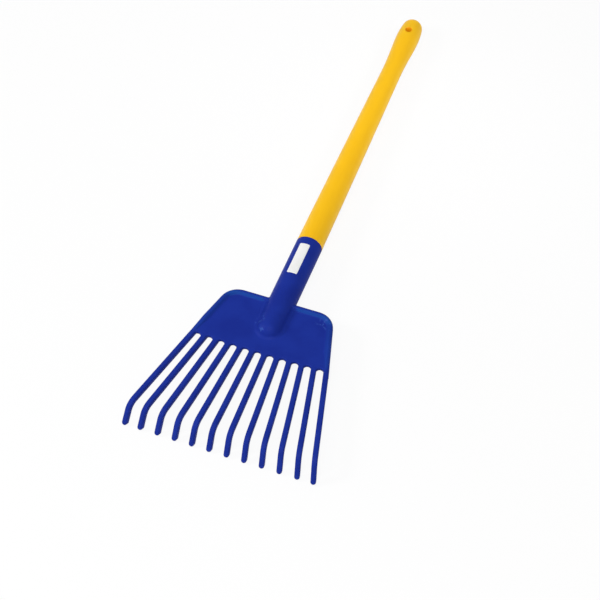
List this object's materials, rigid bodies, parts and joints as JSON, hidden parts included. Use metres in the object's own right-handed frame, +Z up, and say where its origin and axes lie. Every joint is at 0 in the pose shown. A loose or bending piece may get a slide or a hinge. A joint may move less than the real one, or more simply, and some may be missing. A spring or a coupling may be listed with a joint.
{
  "type": "sand rake",
  "caption": "Long-handled sand rake: a moulded fan head with bent tines and a round socket, on a turned, lacquered wooden handle with a hang hole.",
  "frame": {"origin": "on the ground under the middle of the overall length and width, at the height of the lowest points of the tine tips", "axes": "X across the fan, +Y along the handle from the tines to the round end, +Z up from the tips through the plate"},
  "size_m": [0.213, 0.6583, 0.0401],
  "materials": {
    "head_plastic": "satin moulded blue plastic",
    "handle_lacquer": "turned wood under smooth yellow lacquer",
    "screw_steel": "bright zinc-plated steel",
    "label_vinyl": "blank white vinyl"
  },
  "bodies": {
    "root": {"rake_head": "head_plastic", "handle": "handle_lacquer", "fixing_screw": "screw_steel", "label": "label_vinyl"}
  },
  "joints": []
}
